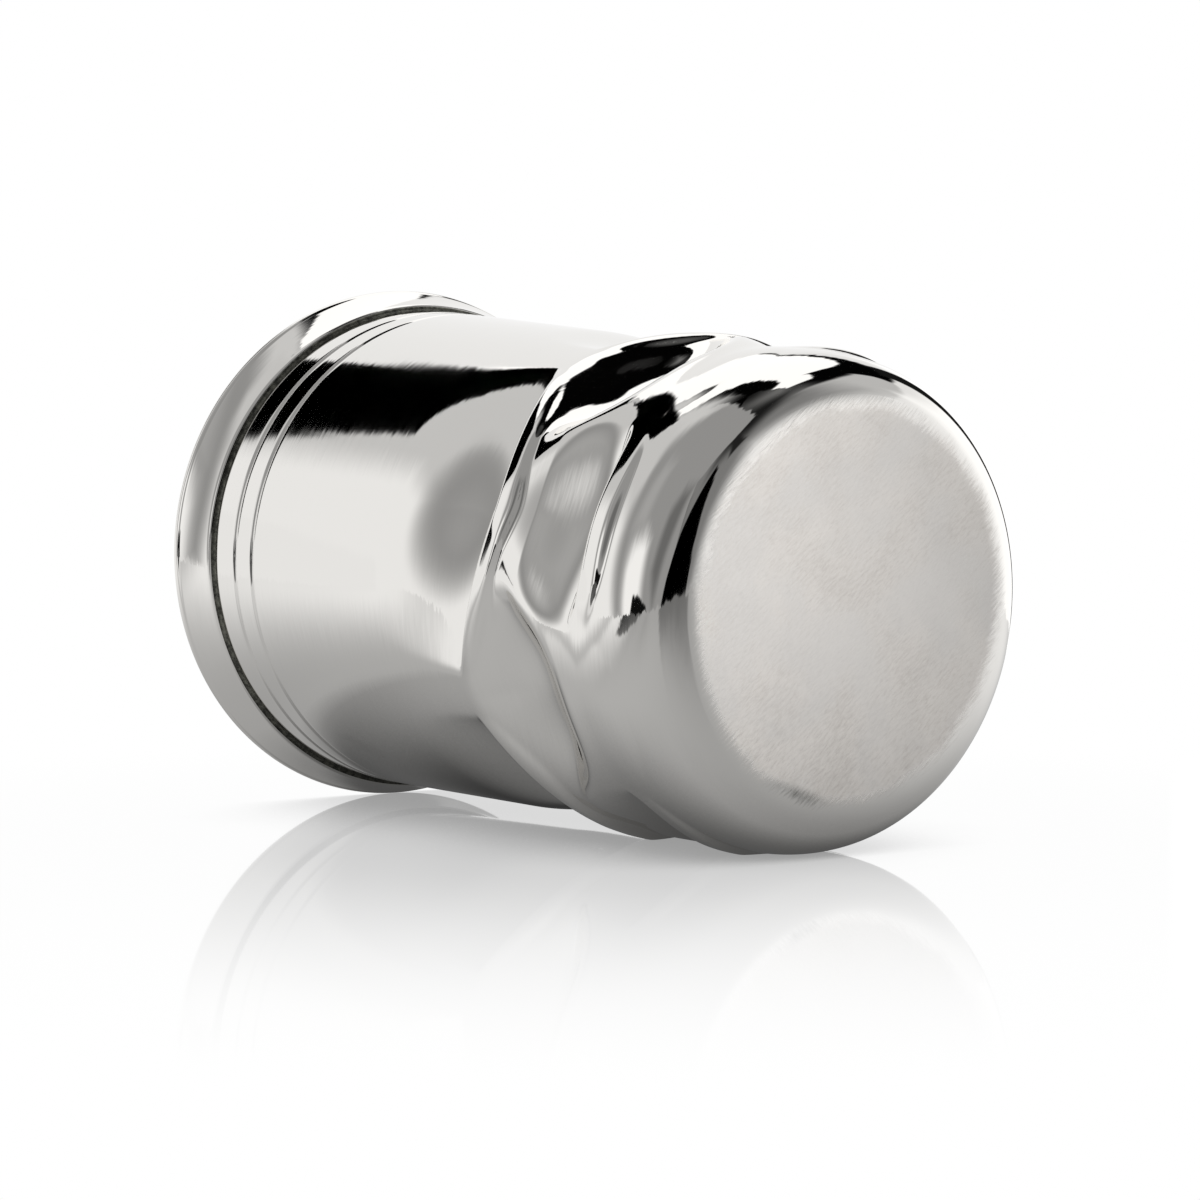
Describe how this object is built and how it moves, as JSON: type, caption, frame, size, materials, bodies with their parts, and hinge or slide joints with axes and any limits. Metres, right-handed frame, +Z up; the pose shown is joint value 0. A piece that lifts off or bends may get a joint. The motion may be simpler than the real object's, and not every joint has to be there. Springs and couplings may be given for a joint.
{
  "type": "tumbler",
  "caption": "Polished cast-metal tumbler with a flared lip, engraved lines under it and staggered rows of thumb-shaped hollows round its lower half.",
  "frame": {"origin": "centre of the flat underside, on the cup's axis", "axes": "+Z up along the cup's axis towards the mouth; the upper and lower rows of hollows are centred on the X and Y axes"},
  "size_m": [0.0784, 0.0784, 0.1061],
  "materials": {
    "polished_metal": "mirror-polished pewter",
    "satin_metal": "satin ground pewter with short brush marks",
    "solder": "dull solder"
  },
  "bodies": {
    "root": {"body_wall": "polished_metal", "rim_lip": "polished_metal", "base_disc": "satin_metal", "rim_seam": "solder", "base_seam": "solder"}
  },
  "joints": []
}
